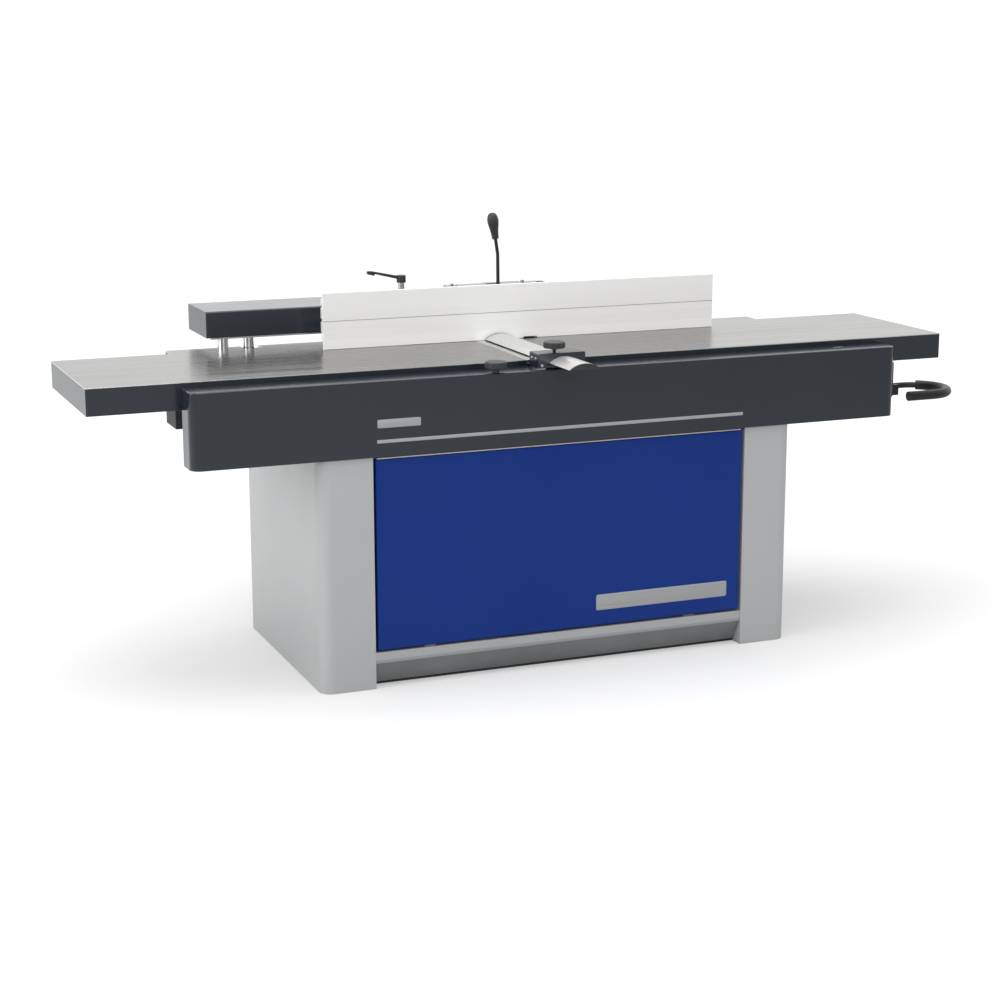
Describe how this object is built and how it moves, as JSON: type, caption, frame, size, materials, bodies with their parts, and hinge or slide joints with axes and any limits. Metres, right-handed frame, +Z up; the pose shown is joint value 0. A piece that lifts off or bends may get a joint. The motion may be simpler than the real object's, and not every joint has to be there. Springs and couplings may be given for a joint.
{
  "type": "surface planer",
  "caption": "Floor-standing jointer: long iron tables, sliding and tilting fence, arched bridge guard, long front apron and a sheet-metal base.",
  "frame": {"origin": "on the floor, under the middle of the base", "axes": "+X along the tables to the infeed end, -Y to the operator, +Z up"},
  "size_m": [2.8619, 1.318, 1.2873],
  "materials": {
    "anthracite_paint": "satin powder coat",
    "grey_paint": "satin powder coat",
    "blue_paint": "satin powder coat",
    "ground_iron": "finely planed, lengthwise marks, painted skirt",
    "dark_iron": "painted casting",
    "bare_steel": "machined",
    "black_steel": "black oxide",
    "chrome": "hard chrome",
    "anodised": "clear anodised",
    "black_plastic": "moulded, fine grain",
    "black_rubber": "matte",
    "green_plastic": "gloss",
    "red_plastic": "gloss"
  },
  "bodies": {
    "base": {"apron": "anthracite_paint", "apron_brackets": "dark_iron", "base_frame": "dark_iron", "bearing_housings": "dark_iron", "bridge_base_plate": "bare_steel", "bridge_blocks": "dark_iron", "bridge_columns": "chrome", "bridge_cover": "anthracite_paint", "cable_gland": "black_plastic", "chip_hood": "bare_steel", "cutterblock_bearings": "bare_steel", "drive_belt": "black_rubber", "electrics_box": "grey_paint", "extraction_spigot": "bare_steel", "fasteners": "bare_steel", "fence_pedestal": "dark_iron", "front_panel": "blue_paint", "guard_lift_stand": "bare_steel", "guide_bushes": "bare_steel", "motor_cradle": "dark_iron", "motor_housing": "dark_iron", "outfeed_lip": "bare_steel", "outfeed_table": "ground_iron", "pillar_covers": "grey_paint", "plinth_rail": "grey_paint", "rear_panel": "grey_paint", "slotted_plate": "black_steel", "switch_plate": "black_plastic", "table_support_arms": "dark_iron"},
    "infeed_table": {"infeed_table": "ground_iron", "infeed_lip": "bare_steel", "infeed_lift_lugs": "dark_iron"},
    "depth_lever": {"outer_lift_shaft": "bare_steel", "depth_lever": "black_steel", "depth_handle": "black_steel", "handle_grip": "black_rubber"},
    "inner_lift_shaft": {"inner_lift_shaft": "bare_steel"},
    "tie_rod": {"depth_tie_rod": "bare_steel"},
    "cutterblock": {"cutterblock": "bare_steel", "planer_knives": "bare_steel", "knife_wedges": "bare_steel", "cutterblock_pulley": "dark_iron"},
    "motor_rotor": {"motor_rotor": "bare_steel", "motor_pulley": "dark_iron"},
    "fence_carriage": {"fence_carriage": "dark_iron", "fence_guide_bars": "chrome", "rear_cutter_cover": "bare_steel"},
    "fence": {"fence_panel": "anodised", "fence_hinge_pins": "bare_steel"},
    "lock_lever": {"lock_lever": "black_steel", "lock_lever_knob": "black_plastic"},
    "clamp_lever": {"bridge_clamp_lever": "black_plastic"},
    "guard_holder": {"guard_holder": "anthracite_paint", "guard_lift_beam": "bare_steel"},
    "guard_arm": {"guard_arm": "anodised", "guard_end_caps": "black_plastic"},
    "guard_clamp_knob": {"guard_clamp_knob": "black_plastic"},
    "guard_height_knob": {"guard_height_knob": "black_plastic"},
    "start_button": {"start_button": "green_plastic"},
    "stop_button": {"stop_button": "red_plastic"}
  },
  "joints": [
    {"name": "depth_lever_swing", "type": "hinge", "parent": "base", "child": "depth_lever", "pos_m": [0.98, 0, 0.775], "axis": [0, 1, 0], "range_deg": [0, 30]},
    {"name": "infeed_lift", "type": "slide", "parent": "base", "child": "infeed_table", "axis": [0.6, 0, -0.8], "range_m": [0, 0.01]},
    {"name": "inner_lift_turn", "type": "hinge", "parent": "base", "child": "inner_lift_shaft", "pos_m": [0.3, 0, 0.775], "axis": [0, 1, 0], "range_deg": [0, 30]},
    {"name": "tie_rod_pivot", "type": "hinge", "parent": "depth_lever", "child": "tie_rod", "pos_m": [0.98, 0.038, 0.72], "axis": [0, 1, 0], "range_deg": [-30, 0]},
    {"name": "cutterblock_spin", "type": "hinge", "parent": "base", "child": "cutterblock", "pos_m": [-0.016, 0, 0.855], "axis": [0, 1, 0], "continuous": true},
    {"name": "motor_spin", "type": "hinge", "parent": "base", "child": "motor_rotor", "pos_m": [0.12, 0, 0.3], "axis": [0, 1, 0], "continuous": true},
    {"name": "fence_slide", "type": "slide", "parent": "base", "child": "fence_carriage", "axis": [0, -1, 0], "range_m": [0, 0.35]},
    {"name": "fence_tilt", "type": "hinge", "parent": "fence_carriage", "child": "fence", "pos_m": [0.077, 0.1225, 0.9243], "axis": [-1, 0, 0], "range_deg": [0, 45]},
    {"name": "lock_lever_swing", "type": "hinge", "parent": "base", "child": "lock_lever", "pos_m": [0.073, 0.32, 1.032], "axis": [0, -1, 0], "range_deg": [0, 20]},
    {"name": "clamp_lever_turn", "type": "hinge", "parent": "base", "child": "clamp_lever", "pos_m": [-0.254, 0.32, 1.09], "axis": [0, 0, 1], "range_deg": [-60, 60]},
    {"name": "guard_height_turn", "type": "hinge", "parent": "base", "child": "guard_height_knob", "pos_m": [-0.215, -0.38, 0.92], "axis": [0, 0, 1], "range_deg": [0, 5400]},
    {"name": "guard_lift", "type": "slide", "parent": "base", "child": "guard_holder", "axis": [0, 0, 1], "range_m": [0, 0.06]},
    {"name": "guard_slide", "type": "slide", "parent": "guard_holder", "child": "guard_arm", "axis": [0, -1, 0], "range_m": [0, 0.35]},
    {"name": "guard_clamp_turn", "type": "hinge", "parent": "guard_holder", "child": "guard_clamp_knob", "pos_m": [-0.028, -0.366, 0.96], "axis": [0, 0, 1], "range_deg": [0, 180]},
    {"name": "start_button_press", "type": "slide", "parent": "base", "child": "start_button", "axis": [-1, 0, 0], "range_m": [0, 0.003], "stiffness_N_per_m": 500},
    {"name": "stop_button_press", "type": "slide", "parent": "base", "child": "stop_button", "axis": [-1, 0, 0], "range_m": [0, 0.003], "stiffness_N_per_m": 500}
  ],
  "couplings": [
    {"joint": "infeed_lift", "follows": "depth_lever_swing", "m_per_rad": 0.019099},
    {"joint": "inner_lift_turn", "follows": "depth_lever_swing", "ratio": 1},
    {"joint": "tie_rod_pivot", "follows": "depth_lever_swing", "ratio": -1},
    {"joint": "motor_spin", "follows": "cutterblock_spin", "ratio": 0.58064},
    {"joint": "guard_height_turn", "follows": "guard_lift", "rad_per_m": 1570.8},
    {"joint": "guard_slide", "follows": "fence_slide", "ratio": 1}
  ]
}
